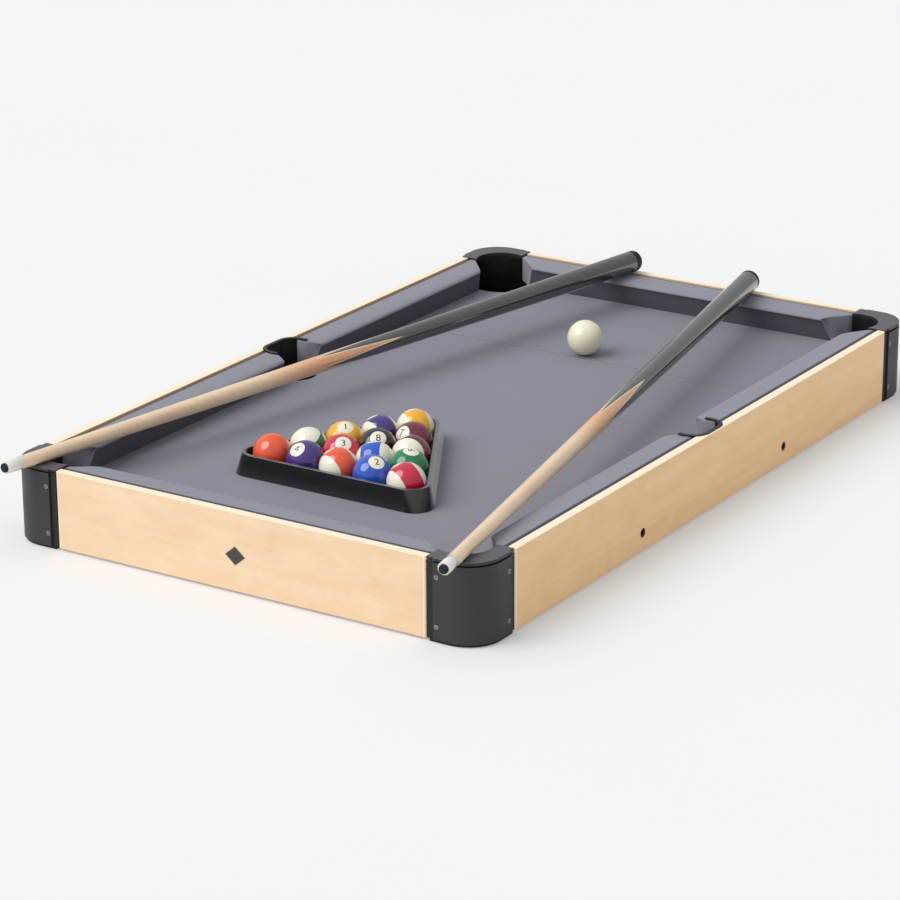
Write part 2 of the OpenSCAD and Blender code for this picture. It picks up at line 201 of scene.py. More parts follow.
def wood(name, along, pale, dark, roughness=0.42, coat=0.25, finish=None):
    """Maple or softwood with its grain along one axis: 0 for X, 1 for Y.

    finish changes the colour where the wood is stained or cut, or where a highlight is painted; it is given
    the graph and the colour."""
    g = Graph(name, Coat_Weight=coat, Coat_Roughness=0.28, Specular_IOR_Level=0.4)
    fine = [420, 420, 420]
    fine[along] = 14
    long = [70, 70, 70]
    long[along] = 3.2
    streaks = g.noise(g.scaled(*long), 1.0, 6, 0.6, 0.5)
    pores = g.noise(g.scaled(*fine), 1.0, 3, 0.6)
    clouds = g.noise(g.scaled(16, 16, 26), 1.0, 3, 0.5, 1.4)
    colour = g.ramp(streaks, (0.3, dark), (0.72, pale))
    colour = g.mix(0.45, colour, g.ramp(clouds, (0.3, dark), (0.7, pale)))
    colour = g.mix(g.between(pores, 0.56, 0.8, 0, 0.35), colour, dark)
    if finish:
        colour = finish(g, colour)
    g.set("Base Color", colour)
    g.set("Roughness", g.between(streaks, 0.2, 0.8, roughness - 0.05, roughness + 0.07))
    height = g.math("ADD", g.math("MULTIPLY", pores, 0.7), g.math("MULTIPLY", streaks, 0.3))
    g.set("Normal", g.bump(height, 0.00006))
    return g.material


def pale_edges(axis, end):
    """A panel's finish: a pale cut along its top, partly painted light from above, and a painted highlight
    on its rounded ends.
    """
    def finish(g, colour):
        # Pale colour: on the top it is partly the cut's own tone and partly painted light from above
        cut = srgb(250, 236, 208)
        colour = g.mix(g.between(g.axis("Z"), WOOD_TOP - 0.5 * MM, WOOD_TOP - 0.2 * MM), colour, cut)
        across = g.math("ABSOLUTE", g.axis(axis))
        # Painted highlight on the panel's rounded ends
        return g.mix(g.between(across, end - 3.0 * MM, end - 2.2 * MM, 0, 0.85), colour, cut)
    return finish


def stained_end(start, end, stain):
    """A shaft's finish: the wood turns to a stain between two places along it."""
    def finish(g, colour):
        return g.mix(g.between(g.axis("X"), start, end), colour, stain)
    return finish


def beside_wood(g):
    """1 on the guards' sunken lips, where shade is painted, 0 elsewhere."""
    on_side = g.math("LESS_THAN", g.math("ABSOLUTE", g.axis("X")), LIP_X)
    on_end = g.math("LESS_THAN", g.math("ABSOLUTE", g.axis("Y")), LIP_Y)
    return g.math("MAXIMUM", on_side, on_end)


def facing_down(g, start, end):
    """Rises from 0 to 1 as a face's normal turns down from start to end: where shade is painted on faces
    turned from the light.
    """
    normal = g.node("ShaderNodeTexCoord").outputs["Normal"]
    return g.between(g.node("ShaderNodeSeparateXYZ", Vector=normal).outputs["Z"], end, start, 1, 0)


def moulded(name, colour, worn, roughness=0.5, grain=0.00007, coat=0.0, dark=None, where=None):
    """Moulded plastic with a fine spark-eroded grain and faint scuffs.

    dark is a painted shade colour, laid where where(g) is 1. A coat also brings the pale sheen of polish at
    a low angle."""
    g = Graph(name, Coat_Weight=coat, Coat_Roughness=0.2, Sheen_Weight=coat * 0.8, Sheen_Roughness=0.3,
              Specular_IOR_Level=0.45)
    spark = g.noise(g.place, 1500, 2, 0.6)
    cloud = g.noise(g.place, 22, 4, 0.6, 0.4)
    scuff = g.noise(g.scaled(60, 60, 320), 1.0, 4, 0.7, 2.0)
    tone = g.mix(g.between(cloud, 0.3, 0.75, 0, 0.4), colour, worn)
    tone = g.mix(g.between(scuff, 0.6, 0.85, 0, 0.3), tone, worn)
    # Painted shade where the mask is 1
    if where:
        tone = g.mix(where(g), tone, dark)
    g.set("Base Color", tone)
    g.set("Roughness", g.between(cloud, 0.25, 0.75, roughness - 0.06, roughness + 0.08))
    g.set("Normal", g.bump(spark, grain))
    return g.material


def felt(name, tone, shade, line_x=None, shade_beside_panels=None):
    """Short napped cloth: a fine weave under the nap, soft tufts and a velvet sheen.

    line_x is where a line is drawn across it; the last argument gives (x, y) of the panels, and with it a
    painted shadow line runs beside them and faces turned down get painted shade."""
    g = Graph(name, Specular_IOR_Level=0.12, Sheen_Weight=0.22, Sheen_Roughness=0.45, Roughness=0.94)
    g.shader.inputs["Sheen Tint"].default_value = srgb(220, 220, 232)
    nap = g.noise(g.place, 1700, 3, 0.7)
    tuft = g.noise(g.place, 420, 4, 0.65)
    patch = g.noise(g.scaled(9, 9, 9), 1.0, 4, 0.55, 0.6)
    weave = g.node("ShaderNodeTexWave", {"wave_type": "BANDS", "bands_direction": "DIAGONAL"},
                   Vector=g.place, Scale=420.0, Distortion=3.0, Detail=2.0).outputs["Fac"]
    colour = g.ramp(nap, (0.28, shade), (0.74, tone))
    colour = g.mix(g.between(patch, 0.3, 0.75, 0, 0.22), colour, shade)
    colour = g.mix(g.between(tuft, 0.45, 0.8, 0, 0.25), colour, tone)
    if line_x is not None:
        off = g.math("ABSOLUTE", g.math("SUBTRACT", g.axis("X"), line_x))
        colour = g.mix(g.between(off, 0.5 * MM, 1.1 * MM, 0.55, 0), colour, srgb(84, 82, 92))
    if shade_beside_panels is not None:
        # Painted shade on the cloth's faces turned down under the nose
        painted_shade = srgb(46, 43, 52)
        colour = g.mix(g.math("MULTIPLY", facing_down(g, 0.1, -0.25), 0.68), colour, painted_shade)
        # Painted shadow line along the cloth beside each panel
        for axis, edge in zip("XY", shade_beside_panels):
            across = g.math("ABSOLUTE", g.axis(axis))
            colour = g.mix(g.between(across, edge - 6.2 * MM, edge - 4.4 * MM, 0, 0.8), colour, painted_shade)
    g.set("Base Color", colour)
    height = g.math("ADD", g.math("MULTIPLY", nap, 0.55), g.math("MULTIPLY", weave, 0.18))
    height = g.math("ADD", height, g.math("MULTIPLY", tuft, 0.4))
    g.set("Normal", g.bump(height, 0.00022))
    return g.material


def metal(name, colour, roughness, metallic=1.0):
    g = Graph(name, Metallic=metallic)
    brushed = g.noise(g.scaled(900, 900, 60), 1.0, 3, 0.6)
    spots = g.noise(g.place, 180, 4, 0.6)
    dull = tuple(c * 0.72 for c in colour[:3]) + (1,)
    g.set("Base Color", g.mix(g.between(spots, 0.45, 0.75, 0, 0.5), colour, dull))
    g.set("Roughness", g.between(brushed, 0.2, 0.8, roughness - 0.08, roughness + 0.12))
    g.set("Normal", g.bump(brushed, 0.00002))
    return g.material


def rubber(name, colour, roughness=0.7):
    g = Graph(name, Specular_IOR_Level=0.35)
    dust = g.noise(g.place, 240, 5, 0.7)
    g.set("Base Color", g.mix(g.between(dust, 0.5, 0.85, 0, 0.25), colour, srgb(88, 86, 84)))
    g.set("Roughness", g.between(dust, 0.3, 0.8, roughness - 0.06, roughness + 0.1))
    g.set("Normal", g.bump(g.noise(g.place, 900, 3, 0.6), 0.00005))
    return g.material


def board(name):
    """Raw fibreboard with pressed chips."""
    g = Graph(name, Roughness=0.85, Specular_IOR_Level=0.2)
    chips = g.node("ShaderNodeTexVoronoi", Vector=g.place, Scale=520.0).outputs["Distance"]
    fibre = g.noise(g.place, 260, 5, 0.7)
    g.set("Base Color", g.mix(fibre, g.ramp(chips, (0.0, srgb(150, 118, 86)), (0.7, srgb(184, 152, 114))),
                              srgb(128, 98, 70)))
    g.set("Normal", g.bump(chips, 0.0001))
    return g.material


def resin(name, colour, depth=0.88):
    """Polished cast resin: a faint cloud in the colour under a clear, hard gloss."""
    g = Graph(name, Coat_Weight=0.6, Coat_Roughness=0.03, Specular_IOR_Level=0.5)
    cloud = g.noise(g.place, 55, 3, 0.5, 0.8)
    deeper = tuple(c * depth for c in colour[:3]) + (1,)
    g.set("Base Color", g.mix(g.between(cloud, 0.3, 0.7), deeper, colour))
    g.set("Roughness", g.between(g.noise(g.place, 160, 4, 0.6), 0.3, 0.8, 0.09, 0.17))
    g.set("Normal", g.bump(g.noise(g.place, 700, 2, 0.5), 0.000004))
    return g.material


def lacquer(name, colour, grain):
    """Stained wood under a clear, glossy lacquer, with its grain along X."""
    g = Graph(name, Coat_Weight=1.0, Coat_Roughness=0.05, Coat_IOR=2.0, Specular_IOR_Level=0.5)
    streaks = g.noise(g.scaled(5, 260, 260), 1.0, 5, 0.65, 0.4)
    g.set("Base Color", g.ramp(streaks, (0.35, colour), (0.8, grain)))
    g.set("Roughness", g.between(streaks, 0.3, 0.8, 0.22, 0.34))
    g.set("Normal", g.bump(streaks, 0.00002))
    return g.material


def leather(name):
    """Pressed leather under dark chalk dust."""
    g = Graph(name, Roughness=0.9, Specular_IOR_Level=0.15)
    dust = g.noise(g.place, 900, 4, 0.7)
    g.set("Base Color", g.ramp(dust, (0.35, srgb(26, 28, 36)), (0.75, srgb(58, 66, 84))))
    g.set("Normal", g.bump(dust, 0.0001))
    return g.material


# ---------- geometry helpers ----------

def tidy_shading(piece, bevel, segments, angle):
    """Joins a CAD mesh's faces, rounds its sharp edges and smooths its curved faces."""
    group = bpy.data.node_groups.get("join_faces") or join_faces_group()
    piece.modifiers.new("join", "NODES").node_group = group
    flatten = piece.modifiers.new("flatten", "DECIMATE")
    flatten.decimate_type = "DISSOLVE"
    flatten.angle_limit = math.radians(0.5)
    if bevel:
        round_off = piece.modifiers.new("round", "BEVEL")
        round_off.width = bevel
        round_off.segments = segments
        round_off.limit_method = "ANGLE"
        round_off.angle_limit = math.radians(angle)
        round_off.harden_normals = True
        round_off.miter_outer = "MITER_ARC"


def join_faces_group():
    """Merges doubled points, drops the stored normals and shades smooth up to a sharp edge."""
    group = bpy.data.node_groups.new("join_faces", "GeometryNodeTree")
    group.interface.new_socket("Geometry", in_out="INPUT", socket_type="NodeSocketGeometry")
    group.interface.new_socket("Geometry", in_out="OUTPUT", socket_type="NodeSocketGeometry")
    add, link = group.nodes.new, group.links.new
    merge = add("GeometryNodeMergeByDistance")
    merge.inputs["Distance"].default_value = 0.01 * MM
    drop = add("GeometryNodeRemoveAttribute")
    drop.inputs["Name"].default_value = "custom_normal"
    turn = add("GeometryNodeInputMeshEdgeAngle")
    sharp = add("FunctionNodeCompare")
    sharp.operation = "LESS_THAN"
    sharp.inputs["B"].default_value = math.radians(32)
    link(turn.outputs["Unsigned Angle"], sharp.inputs["A"])
    faces = add("GeometryNodeSetShadeSmooth")
    edges = add("GeometryNodeSetShadeSmooth")
    edges.domain = "EDGE"
    link(sharp.outputs["Result"], edges.inputs["Shade Smooth"])
    start, end = add("NodeGroupInput"), add("NodeGroupOutput")
    chain = [start, merge, drop, faces, edges, end]
    for a, b in zip(chain, chain[1:]):
        link(a.outputs["Geometry"] if "Geometry" in a.outputs else a.outputs[0],
             b.inputs["Geometry"] if "Geometry" in b.inputs else b.inputs[0])
    return group


def paint(node, material, bevel=0.0, segments=2, angle=32):
    """A CAD node keeps its shape and gets a finish."""
    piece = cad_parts[node]
    piece.data.materials.clear()
    piece.data.materials.append(material)
    tidy_shading(piece, bevel, segments, angle)


def mesh_piece(name, points, faces, materials, which=None):
    """A new object from points in metres and lists of point numbers."""
    data = bpy.data.meshes.new(name)
    data.from_pydata([tuple(p) for p in points], [], faces)
    for material in materials:
        data.materials.append(material)
    for k, polygon in enumerate(data.polygons):
        polygon.use_smooth = True
        if which:
            polygon.material_index = which[k]
    data.validate()
    piece = bpy.data.objects.new(name, data)
    bpy.context.scene.collection.objects.link(piece)
    return piece


def sharpen(piece, angle=32):
    """Marks the edges that turn by more than this as sharp."""
    bm = bmesh.new()
    bm.from_mesh(piece.data)
    bmesh.ops.recalc_face_normals(bm, faces=bm.faces)
    for edge in bm.edges:
        edge.smooth = not edge.is_manifold or edge.calc_face_angle(0) < math.radians(angle)
    bm.to_mesh(piece.data)
    bm.free()


# ---------- cloth: cushions and bed ----------

NOSE_ACROSS = 33 * MM            # from the panel to the cushion's nose
NOSE_Z = BED_TOP + 23.4 * MM
POCKET_GAP = 0.3 * MM            # between a cushion and a pocket
CORNER_MOUTH = 38 * MM           # from a corner pocket's centre to the cushion's nose end
SIDE_MOUTH = 34 * MM             # from the middle to the cushion's nose end
SIDE_LINE = WOOD_Y - 27.2 * MM   # where a side pocket's round inner half ends
ARM_LINE = SIDE_LINE + 11.7 * MM   # where a side pocket's raised wall begins
END_ROUND = 1.6 * MM             # rounding of a cushion's end faces
RUN_STEPS = 40                   # faces along a cushion
CLOTH_GAP = 0.4 * MM             # between the bed cloth and a corner pocket
SIDE_EDGE = 3.6 * MM             # from a side pocket's outside to the bed cloth's edge


def rail_stations():
    """(distance from the panel, top height, underside height) across a rail, from nose to panel."""
    top = high("cushion_far_right").z
    base = BED_TOP + 0.1 * MM
    nose = [(33.0, 0, 0), (32.9, 0.6, 0.6), (32.5, 1.3, 1.2), (31.8, 1.95, 1.9), (30.8, 2.5, 4.2),
            (29.4, 3.0, 9.5), (27.6, 3.4, 16.0), (25.6, 3.75, 23.3)]
    stations = [(a * MM, NOSE_Z + up * MM, max(base, NOSE_Z - down * MM)) for a, up, down in nose]
    tucked = [(22, 0.95), (18, 0.75), (14, 0.55), (10, 0.35), (7, 0.2), (4.5, 0.1), (3.4, 0.15), (2.6, 0.45),
              (2.0, 1.0), (1.5, 1.9), (1.0, 3.2)]
    return stations + [(a * MM, top - down * MM, base) for a, down in tucked]


def corner_end(along, across, nose, limit):
    """How far a rail runs at a given place across it, beside a corner pocket centred at (along, across)."""
    reach = CORNER_R + POCKET_GAP
    jaw = reach * math.sin(math.radians(45))

    def end(at):
        if at <= across + jaw:
            share = max(0, (at - nose) / (across + jaw - nose))
            return along - CORNER_MOUTH + share * (CORNER_MOUTH - jaw)
        inside = reach ** 2 - (at - across) ** 2
        return min(limit, along - math.sqrt(inside)) if inside > 0 else limit
    return end


def side_end(start, nose):
    """The same beside a side pocket: a slanted jaw, then the pocket's side, then its raised wall."""
    def end(at):
        share = min(1, max(0, (at - nose) / (SIDE_LINE - nose)))
        wall = 2.3 * MM if at > ARM_LINE else 0
        return SIDE_MOUTH + share * (start - SIDE_MOUTH) + wall
    return end


def round_steps(radius):
    """(inset, distance from the end) round an end's edge, from the end face outwards."""
    angles = [math.radians(a) for a in range(0, 91, 18)]
    return [(radius * (1 - math.sin(a)), radius * (1 - math.cos(a))) for a in angles]


def outward(section):
    """The outward direction at each point of a closed section of (across, height) points."""
    count = len(section)
    area = sum(section[k - 1][0] * section[k][1] - section[k][0] * section[k - 1][1] for k in range(count))
    found = []
    for k in range(count):
        (a0, z0), (a1, z1) = section[k - 1], section[(k + 1) % count]
        n = Vector((z1 - z0, a0 - a1)).normalized()
        found.append(n if area > 0 else -n)
    return found


def cushion(node, face, start, end, to_table, material):
    """A cloth-covered cushion: its section runs between two shaped ends with rounded edges.

    face is where the panel starts, start and end give the run at a place across it, and to_table
    turns (along, across, height) into the table's frame."""
    stations = rail_stations()
    section = [(a, z) for a, z, _ in stations] + [(a, z) for a, _, z in reversed(stations[1:])]
    count = len(section)
    ways = outward(section)
    rings = [(0, back, inset) for inset, back in round_steps(END_ROUND)]
    rings += [(k / RUN_STEPS, 0, 0) for k in range(1, RUN_STEPS)]
    rings += [(1, -back, inset) for inset, back in reversed(round_steps(END_ROUND))]
    points, faces = [], []
    for share, back, inset in rings:
        for (a, z), way in zip(section, ways):
            near, far = start(face - a), end(face - a)
            run = near + (far - near) * share + back
            points.append(to_table(run, face - (a - way.x * inset), z - way.y * inset))
    for r in range(len(rings) - 1):
        for k in range(count):
            n = (k + 1) % count
            faces.append((r * count + k, r * count + n, (r + 1) * count + n, (r + 1) * count + k))
    for base in (0, (len(rings) - 1) * count):
        faces.append((base, base + 1, base + count - 1))
        for k in range(1, len(stations) - 1):
            faces.append((base + k, base + k + 1, base + count - k - 1, base + count - k))
    piece = mesh_piece(node + "_cloth", points, faces, [material])
    sharpen(piece, 50)
    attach(piece, "table")
    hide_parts(node)


def make_cushions(material):
    far_y = high("cushion_far_right").y
    nose_y = far_y - NOSE_ACROSS
    start = side_end(low("cushion_far_right").x, nose_y)
    end = corner_end(CORNER_POCKET.x, CORNER_POCKET.y, nose_y, high("cushion_far_right").x)
    for side, sy in (("far", 1), ("near", -1)):
        for hand, sx in (("right", 1), ("left", -1)):
            cushion(f"cushion_{side}_{hand}", far_y, start, end,
                    lambda run, at, z, sx=sx, sy=sy: (sx * run, sy * at, z), material)
    end_x = high("cushion_end_right").x
    nose_x = end_x - NOSE_ACROSS
    ending = corner_end(CORNER_POCKET.y, CORNER_POCKET.x, nose_x, high("cushion_end_right").y)
    for hand, sx in (("right", 1), ("left", -1)):
        cushion(f"cushion_end_{hand}", end_x, lambda at: -ending(at), ending,
                lambda run, at, z, sx=sx: (sx * at, run, z), material)


def bed_outline(shrink):
    """The cloth's outline, counter-clockwise, with its pocket openings widened by shrink."""
    x_end, y_end = high("bed_cloth").x, high("bed_cloth").y
    r = CORNER_R + CLOTH_GAP + shrink
    side_r = (high("side_pocket_far").x - low("side_pocket_far").x) / 2 - SIDE_EDGE + shrink
    quarter = [(x_end, CORNER_POCKET.y - r)]
    quarter += arc(CORNER_POCKET.x, CORNER_POCKET.y, r, -90, -180)
    quarter += [(CORNER_POCKET.x - r, y_end), (side_r, y_end)]
    quarter += arc(0, SIDE_LINE, side_r, 0, -90)
    half = quarter + [(-x, y) for x, y in reversed(quarter[:-1])]
    return half + [(x, -y) for x, y in reversed(half)]


def arc(x, y, r, start, end):
    """Points round a centre, between two angles in degrees."""
    steps = 24
    turns = [math.radians(start + (end - start) * k / steps) for k in range(steps + 1)]
    return [(x + r * math.cos(a), y + r * math.sin(a)) for a in turns]


def make_bed_cloth(material):
    """The stretched cloth, rolled over at the pockets."""
    levels = [(1.1, 0.0), (0.75, 0.06), (0.4, 0.25), (0.12, 0.55), (0.0, 1.0)]
    points, faces, rings = [], [], []
    for shrink, drop in levels:
        ring = bed_outline(shrink * MM)
        rings.append(list(range(len(points), len(points) + len(ring))))
        points += [(x, y, BED_TOP - drop * MM) for x, y in ring]
    for a, b in zip(rings, rings[1:]):
        for k in range(len(a)):
            n = (k + 1) % len(a)
            faces.append((a[k], b[k], b[n], a[n]))
    faces.append(tuple(rings[0]))
    faces.append(tuple(reversed(rings[-1])))
    piece = mesh_piece("bed_cloth_stretched", points, faces, [material])
    bm = bmesh.new()
    bm.from_mesh(piece.data)
    bmesh.ops.recalc_face_normals(bm, faces=bm.faces)
    bmesh.ops.triangulate(bm, faces=[f for f in bm.faces if len(f.verts) > 4])
    area = sum(f.calc_area() for f in bm.faces if f.normal.z > 0.5)
    bm.to_mesh(piece.data)
    bm.free()
    sharpen(piece, 60)
    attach(piece, "table")
    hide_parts("bed_cloth")


# ---------- balls ----------

BALL_COLOURS = [
    ("yellow", srgb(248, 178, 26)), ("blue", srgb(28, 84, 196)), ("red", srgb(208, 26, 62)),
    ("purple", srgb(66, 44, 124)), ("orange", srgb(240, 88, 48)), ("green", srgb(8, 124, 72)),
    ("maroon", srgb(112, 20, 48)), ("black", srgb(22, 22, 24)),
]
IVORY = srgb(238, 234, 214)
DISC_R = 8.0 * MM
STRIPE_HALF = 9.5 * MM
NUMBER_TALL = (7.2 * MM, 5.8 * MM)   # a number's height with one digit and with two
# Which way each ball's number, or a striped ball's white end, looks: right, up and to the front
BALL_TURNS = {
    1: (0.09, 0.70, 0.70), 2: (0.26, 0.64, 0.72), 3: (0.14, 0.54, 0.83), 4: (-0.38, 0.56, 0.74),
    5: (-0.55, -0.76, 0.34), 6: (0.15, 0.88, 0.45), 7: (-0.56, 0.42, 0.72), 8: (0.08, 0.48, 0.87),
    9: (-0.90, -0.22, 0.36), 10: (0.96, 0.12, 0.22), 11: (-0.80, -0.46, 0.40), 12: (-0.74, -0.36, 0.56),
    13: (-0.72, -0.42, 0.55), 14: (-0.38, 0.74, 0.56), 15: (-0.26, -0.10, 0.96),
}
FRONT = Vector((-0.808, -0.487, 0.332))   # towards the side that a viewer stands on


def looking(turn):
    """A direction in the table's frame from right, up and front amounts."""
    right = Vector((0, 0, 1)).cross(FRONT).normalized()
    up = FRONT.cross(right)
    return (turn[0] * right + turn[1] * up + turn[2] * FRONT).normalized()


def cut_round(bm, direction, offset):
    """Adds a loop of edges where the plane at this offset along direction meets the mesh."""
    bmesh.ops.bisect_plane(bm, geom=bm.verts[:] + bm.edges[:] + bm.faces[:], plane_co=direction * offset,
                           plane_no=direction, dist=1e-7)


def number_mesh(number):
    """The number as a flat, finely divided mesh, centred, as tall as its size."""
    curve = bpy.data.curves.new(f"number_{number}", "FONT")
    curve.body = str(number)
    curve.size = 1.0
    curve.align_x = "CENTER"
    curve.align_y = "CENTER"
    curve.resolution_u = 6
    holder = bpy.data.objects.new("number_holder", curve)
    bpy.context.scene.collection.objects.link(holder)
    bpy.context.view_layer.update()
    made = bpy.data.meshes.new_from_object(holder.evaluated_get(bpy.context.evaluated_depsgraph_get()))
    bpy.data.objects.remove(holder)
    bm = bmesh.new()
    bm.from_mesh(made)
    bmesh.ops.remove_doubles(bm, verts=bm.verts, dist=1e-5)
    bmesh.ops.triangulate(bm, faces=bm.faces)
    for _ in range(3):
        long = [e for e in bm.edges if e.calc_length() > 0.09]
        bmesh.ops.subdivide_edges(bm, edges=long, cuts=1)
        bmesh.ops.triangulate(bm, faces=bm.faces)
    xs = [v.co.x for v in bm.verts]
    ys = [v.co.y for v in bm.verts]
    centre = Vector(((max(xs) + min(xs)) / 2, (max(ys) + min(ys)) / 2, 0))
    height = max(ys) - min(ys)
    for v in bm.verts:
        v.co = (v.co - centre) / height
    return bm


def add_number(bm, number, direction, upright, slot_index):
    """Lays the number on the ball, a hair proud of its disc."""
    side = upright.cross(direction).normalized()
    top = direction.cross(side)
    flat = number_mesh(number)
    tall = NUMBER_TALL[0] if number < 10 else NUMBER_TALL[1]
    lifted = BALL_R + 0.03 * MM
    moved = {}
    for v in flat.verts:
        u, w = v.co.x * tall, v.co.y * tall
        far = math.hypot(u, w)
        turn = far / BALL_R
        along = (side * u + top * w) / far if far > 1e-9 else side
        moved[v] = bm.verts.new(lifted * (direction * math.cos(turn) + along * math.sin(turn)))
    for f in flat.faces:
        corners = [moved[v] for v in f.verts]
        if bm.faces.get(corners):
            continue
        made = bm.faces.new(corners)
        made.normal_update()
        made.material_index = slot_index
        made.smooth = True
        if made.normal.dot(direction) < 0:
            made.normal_flip()
    flat.free()


def make_ball(number, finishes, white, ink):
    """A numbered ball: solid in its colour, or white with a band of it, and two white number discs."""
    node = f"ball_{number}"
    striped = number > 8
    name, _ = BALL_COLOURS[(number - 1) % 8]
    look = looking(BALL_TURNS[number])
    upright = looking((0, 1, 0)) if abs(look.z) < 0.95 else looking((1, 0, 0))
    disc_way = look if not striped else FRONT.cross(look).normalized()
    bm = bmesh.new()
    bmesh.ops.create_uvsphere(bm, u_segments=72, v_segments=36, radius=BALL_R)
    disc_at = math.cos(DISC_R / BALL_R) * BALL_R
    for s in (1, -1):
        cut_round(bm, disc_way * s, disc_at)
        if striped:
            cut_round(bm, look * s, STRIPE_HALF)
    for v in bm.verts:
        v.co = v.co.normalized() * BALL_R
    for f in bm.faces:
        at = f.calc_center_median().normalized() * BALL_R
        if abs(at.dot(disc_way)) > disc_at:
            f.material_index = 1
        elif striped and abs(at.dot(look)) > STRIPE_HALF:
            f.material_index = 1
        f.smooth = True
    bm.faces.ensure_lookup_table()
    for s in (1, -1):
        add_number(bm, number, disc_way * s, look if striped else upright, 2)
    bmesh.ops.triangulate(bm, faces=[f for f in bm.faces if len(f.verts) > 4])
    ball_piece(node, bm, [finishes[name], white, ink])


def ball_piece(node, bm, materials):
    """Turns a ball's mesh into its piece, shaded as a true sphere."""
    data = bpy.data.meshes.new(node + "_resin")
    bm.to_mesh(data)
    bm.free()
    data.normals_split_custom_set_from_vertices([v.co.normalized() for v in data.vertices])
    for material in materials:
        data.materials.append(material)
    piece = bpy.data.objects.new(node + "_resin", data)
    bpy.context.scene.collection.objects.link(piece)
    piece.location = middle(node)
    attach(piece, node)
    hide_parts(node)


def make_cue_ball(material):
    bm = bmesh.new()
    bmesh.ops.create_icosphere(bm, subdivisions=5, radius=BALL_R)
    for f in bm.faces:
        f.smooth = True
    ball_piece("cue_ball", bm, [material])


# ---------- cues ----------

RING = 64                        # points round a cue
PRONG_W = 16                     # faces across the foot of a pointed inlay
PRONG_STEPS = 8                  # rows of faces along it
PRONG_STEP = 15 * MM
STEPS_ON_SHAFT = 3               # how many of the rows lie before the joint
PLAIN_STEPS = 20                 # rows of faces on the plain part of a shaft
BUTT_STEPS = 16                  # and on the plain part of a butt
MAPLE, BLACK, VENEER, INLAY = range(4)
TIP_L = 3.5 * MM
TIP_R = 4.4 * MM
FERRULE_L = 18 * MM
BUMPER_L = 12 * MM
BUMPER_ROUND = 6.5 * MM


def end_rings(node):
    """(centre, radius) at the two ends of a turned CAD piece, the tip's end first."""
    places = {tuple(round(c, 6) for c in v.co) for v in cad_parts[node].data.vertices}
    points = [Vector(p) for p in places]
    rings = (
        [p for p in points if p.x < low(node).x + 6 * MM],
        [p for p in points if p.x > high(node).x - 6 * MM],
    )
    found = []
    for ring in rings:
        centre = sum(ring, Vector()) / len(ring)
        found.append((centre, max((p - centre).length for p in ring)))
    return found


def prong_finish(row, k):
    """(inner finish, outer finish, whether the edge between them rises) for a face of the points."""
    place = k % PRONG_W
    depth = min(place, PRONG_W - 1 - place) - row
    pairs = {0: (VENEER, BLACK), 1: (INLAY, VENEER)}
    inner, outer = pairs.get(depth, (BLACK, BLACK) if depth < 0 else (INLAY, INLAY))
    return inner, outer, place < PRONG_W / 2


def turned(name, line, materials, matrix, finish):
    """A closed piece turned from a line of (distance along X, radius) points."""
    points, faces, which = [], [], []
    for x, r in line:
        for k in range(RING):
            a = math.tau * k / RING
            points.append((x, r * math.cos(a), r * math.sin(a)))
    for row in range(len(line) - 1):
        for k in range(RING):
            n = (k + 1) % RING
            a, b, c, d = (row * RING + k, row * RING + n, (row + 1) * RING + n, (row + 1) * RING + k)
            inner, outer, rising = finish(row, k)
            if inner == outer:
                faces.append((a, b, c, d))
                which.append(inner)
            else:
                faces += [(a, b, c), (a, c, d)] if rising else [(a, b, d), (b, c, d)]
                which += [inner, outer]
    last = (len(line) - 1) * RING
    faces += [tuple(reversed(range(RING))), tuple(range(last, last + RING))]
    which += [finish(0, RING // 2)[0], finish(len(line) - 2, 0)[1]]
    piece = mesh_piece(name, points, faces, materials, which)
    piece.matrix_world = matrix
    sharpen(piece, 40)
    return piece


class Cue:
    """A cue's axis and taper, from its CAD shaft; distances run from the tip."""

    def __init__(self, body):
        (start, self.start_r), (end, end_r) = end_rings(f"{body}_shaft")
        self.along = (end - start).normalized()
        self.shaft_from = TIP_L + FERRULE_L
        self.shaft_to = self.shaft_from + (end - start).length
        self.slope = (end_r - self.start_r) / (end - start).length
        self.total = self.shaft_to * 2
        self.origin = start - self.along * self.shaft_from

    def radius(self, x):
        return self.start_r + self.slope * (x - self.shaft_from)

    def matrix(self):
        """Places a piece so that the middle of one pointed inlay faces the front."""
        side = Vector((0, 0, 1)).cross(self.along).normalized()
        up = self.along.cross(side)
        turn = math.atan2(FRONT.dot(up), FRONT.dot(side)) - math.tau * PRONG_W / 2 / RING
        axes = Matrix((self.along, side, up)).transposed().to_4x4()
        return Matrix.Translation(self.origin) @ axes @ Matrix.Rotation(turn, 4, "X")

    def tip(self):
        turns = [math.radians(a) for a in (6, 18, 32, 46, 60, 72, 82)]
        dome = [(TIP_L * 0.42 * (1 - math.cos(a)), TIP_R * math.sin(a)) for a in turns]
        return dome + [(TIP_L * 0.6, TIP_R), (TIP_L - 0.2 * MM, TIP_R), (TIP_L, TIP_R - 0.1 * MM)]

    def ferrule(self):
        start, end = TIP_L, self.shaft_from
        return [(start, self.radius(start) - 0.25 * MM), (start + 0.3 * MM, self.radius(start)),
                (end - 0.25 * MM, self.radius(end)), (end, self.radius(end) - 0.15 * MM)]

    def evenly(self, start, end, steps):
        return [(x, self.radius(x)) for x in (start + (end - start) * k / steps for k in range(steps + 1))]

    def bumper(self, start, round_r):
        r = self.radius(self.total) - 0.2 * MM
        line = [(start, self.radius(start) - 0.3 * MM), (start + 0.3 * MM, self.radius(start)),
                (self.total - round_r, r)]
        turns = [math.radians(a) for a in (15, 30, 45, 60, 75, 90)]
        return line + [(self.total - round_r * (1 - math.sin(a)), r - round_r * (1 - math.cos(a)))
                       for a in turns]


